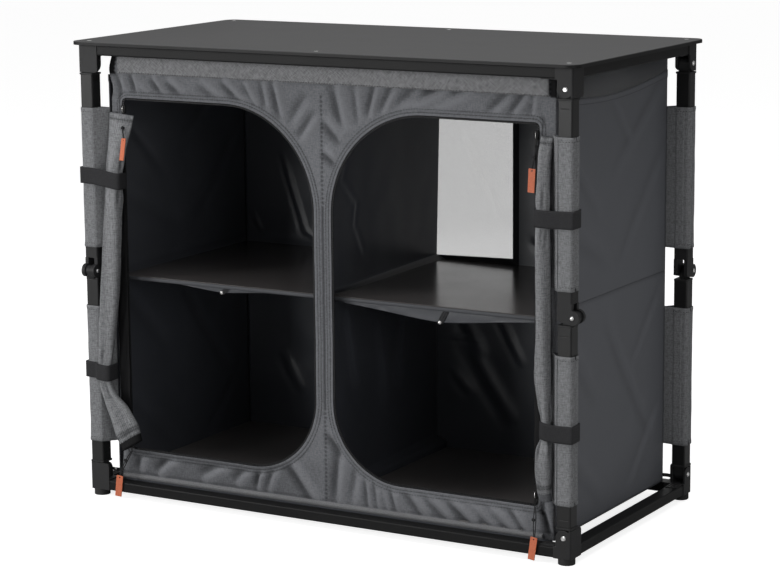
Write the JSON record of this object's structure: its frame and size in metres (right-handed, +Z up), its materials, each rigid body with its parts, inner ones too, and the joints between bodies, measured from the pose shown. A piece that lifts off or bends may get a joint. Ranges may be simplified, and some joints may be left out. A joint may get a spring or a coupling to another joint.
{
  "type": "camping cupboard",
  "caption": "Folding fabric camping cupboard: a rigid table top and floor frame on knuckled legs, with shelved compartments behind rolled-up doors.",
  "frame": {"origin": "on the ground, midway between the four feet", "axes": "+X to the right and -Y out of the doors, seen from the front; +Z up"},
  "size_m": [0.962, 0.499, 0.8],
  "materials": {
    "table_board": "matte dark grey laminate on fibreboard",
    "screw_steel": "bright zinc",
    "rivet_metal": "bright",
    "frame_tube": "black powder coat, satin",
    "moulded_black": "moulded nylon, fine grain",
    "foot_rubber": "soft matte",
    "sleeve_fabric": "coarse square weave",
    "shelf_board": "dark laminate, slight sheen",
    "lining_fabric": "coated weave, slight sheen",
    "front_fabric": "fine plain weave",
    "side_fabric": "smooth coated weave",
    "window_mesh": "pale mesh, lets light through",
    "webbing": "woven tape",
    "zip_metal": "black",
    "pull_cord": "braided",
    "pull_tab": "soft orange"
  },
  "bodies": {
    "base": {"bottom_front_rail": "frame_tube", "bottom_right_rail": "frame_tube", "bottom_rear_rail": "frame_tube", "bottom_left_rail": "frame_tube", "bottom_corner_brackets": "moulded_black", "feet": "foot_rubber", "bottom_pivot_rivets": "rivet_metal", "floor_board_left": "shelf_board", "floor_board_right": "shelf_board", "cabinet_floor": "lining_fabric", "front_panel": "front_fabric", "side_panel_left": "side_fabric", "side_panel_right": "side_fabric", "rear_panel": "front_fabric", "rear_window": "window_mesh", "divider": "lining_fabric", "door_zips": "webbing", "zip_sliders": "zip_metal", "zip_pull_cords": "pull_cord", "zip_pull_tabs": "pull_tab", "rolled_door_left": "lining_fabric", "rolled_door_right": "lining_fabric", "door_straps": "webbing", "corner_ties": "webbing"},
    "front_right_lower_leg": {"front_right_lower_tube": "frame_tube", "front_right_lower_plugs": "moulded_black", "front_right_lower_sleeve": "sleeve_fabric"},
    "front_right_upper_leg": {"front_right_upper_tube": "frame_tube", "front_right_upper_plugs": "moulded_black", "front_right_upper_sleeve": "sleeve_fabric"},
    "rear_right_lower_leg": {"rear_right_lower_tube": "frame_tube", "rear_right_lower_plugs": "moulded_black", "rear_right_lower_sleeve": "sleeve_fabric"},
    "rear_right_upper_leg": {"rear_right_upper_tube": "frame_tube", "rear_right_upper_plugs": "moulded_black", "rear_right_upper_sleeve": "sleeve_fabric"},
    "rear_left_lower_leg": {"rear_left_lower_tube": "frame_tube", "rear_left_lower_plugs": "moulded_black", "rear_left_lower_sleeve": "sleeve_fabric"},
    "rear_left_upper_leg": {"rear_left_upper_tube": "frame_tube", "rear_left_upper_plugs": "moulded_black", "rear_left_upper_sleeve": "sleeve_fabric"},
    "front_left_lower_leg": {"front_left_lower_tube": "frame_tube", "front_left_lower_plugs": "moulded_black", "front_left_lower_sleeve": "sleeve_fabric"},
    "front_left_upper_leg": {"front_left_upper_tube": "frame_tube", "front_left_upper_plugs": "moulded_black", "front_left_upper_sleeve": "sleeve_fabric"},
    "top": {"table_top": "table_board", "table_top_screws": "screw_steel", "top_front_rail": "frame_tube", "top_right_rail": "frame_tube", "top_rear_rail": "frame_tube", "top_left_rail": "frame_tube", "top_corner_brackets": "moulded_black", "top_pivot_rivets": "rivet_metal"},
    "left_shelf": {"shelf_board_left": "shelf_board", "shelf_sling_left": "lining_fabric"},
    "right_shelf": {"shelf_board_right": "shelf_board", "shelf_sling_right": "lining_fabric"}
  },
  "joints": [
    {"name": "front_right_leg_fold", "type": "hinge", "parent": "base", "child": "front_right_lower_leg", "pos_m": [0.456, -0.2245, 0.045], "axis": [0, -1, 0], "range_deg": [0, 88], "deforming": ["front_panel", "side_panel_left", "side_panel_right", "rear_panel", "rear_window", "divider", "door_zips", "zip_sliders", "zip_pull_cords", "zip_pull_tabs", "rolled_door_left", "rolled_door_right", "door_straps", "corner_ties"]},
    {"name": "front_right_knuckle", "type": "hinge", "parent": "front_right_lower_leg", "child": "front_right_upper_leg", "pos_m": [0.4695, -0.2245, 0.4025], "axis": [0, -1, 0], "range_deg": [-176.1, 0]},
    {"name": "rear_right_leg_fold", "type": "hinge", "parent": "base", "child": "rear_right_lower_leg", "pos_m": [0.456, 0.2245, 0.045], "axis": [1, 0, 0], "range_deg": [0, 88]},
    {"name": "rear_right_knuckle", "type": "hinge", "parent": "rear_right_lower_leg", "child": "rear_right_upper_leg", "pos_m": [0.456, 0.238, 0.4025], "axis": [1, 0, 0], "range_deg": [-176.1, 0]},
    {"name": "rear_left_leg_fold", "type": "hinge", "parent": "base", "child": "rear_left_lower_leg", "pos_m": [-0.456, 0.2245, 0.045], "axis": [0, 1, 0], "range_deg": [0, 88]},
    {"name": "rear_left_knuckle", "type": "hinge", "parent": "rear_left_lower_leg", "child": "rear_left_upper_leg", "pos_m": [-0.4695, 0.2245, 0.4025], "axis": [0, 1, 0], "range_deg": [-176.1, 0]},
    {"name": "front_left_leg_fold", "type": "hinge", "parent": "base", "child": "front_left_lower_leg", "pos_m": [-0.456, -0.2245, 0.045], "axis": [-1, 0, 0], "range_deg": [0, 88]},
    {"name": "front_left_knuckle", "type": "hinge", "parent": "front_left_lower_leg", "child": "front_left_upper_leg", "pos_m": [-0.456, -0.238, 0.4025], "axis": [-1, 0, 0], "range_deg": [-176.1, 0]},
    {"name": "table_top_level", "type": "hinge", "parent": "front_right_upper_leg", "child": "top", "pos_m": [0.456, -0.2245, 0.76], "axis": [0, -1, 0], "range_deg": [0, 88]},
    {"name": "left_shelf_drop", "type": "slide", "parent": "base", "child": "left_shelf", "axis": [0, 0, -1], "range_m": [0, 0.3002]},
    {"name": "right_shelf_drop", "type": "slide", "parent": "base", "child": "right_shelf", "axis": [0, 0, -1], "range_m": [0, 0.3002]}
  ],
  "couplings": [
    {"joint": "front_right_knuckle", "follows": "front_right_leg_fold", "ratio": -2},
    {"joint": "rear_right_leg_fold", "follows": "front_right_leg_fold", "ratio": 1},
    {"joint": "rear_right_knuckle", "follows": "front_right_leg_fold", "ratio": -2},
    {"joint": "rear_left_leg_fold", "follows": "front_right_leg_fold", "ratio": 1},
    {"joint": "rear_left_knuckle", "follows": "front_right_leg_fold", "ratio": -2},
    {"joint": "front_left_leg_fold", "follows": "front_right_leg_fold", "ratio": 1},
    {"joint": "front_left_knuckle", "follows": "front_right_leg_fold", "ratio": -2},
    {"joint": "table_top_level", "follows": "front_right_leg_fold", "ratio": 1},
    {"joint": "left_shelf_drop", "follows": "front_right_leg_fold", "m_per_rad": 0.19533},
    {"joint": "right_shelf_drop", "follows": "front_right_leg_fold", "m_per_rad": 0.19533}
  ]
}
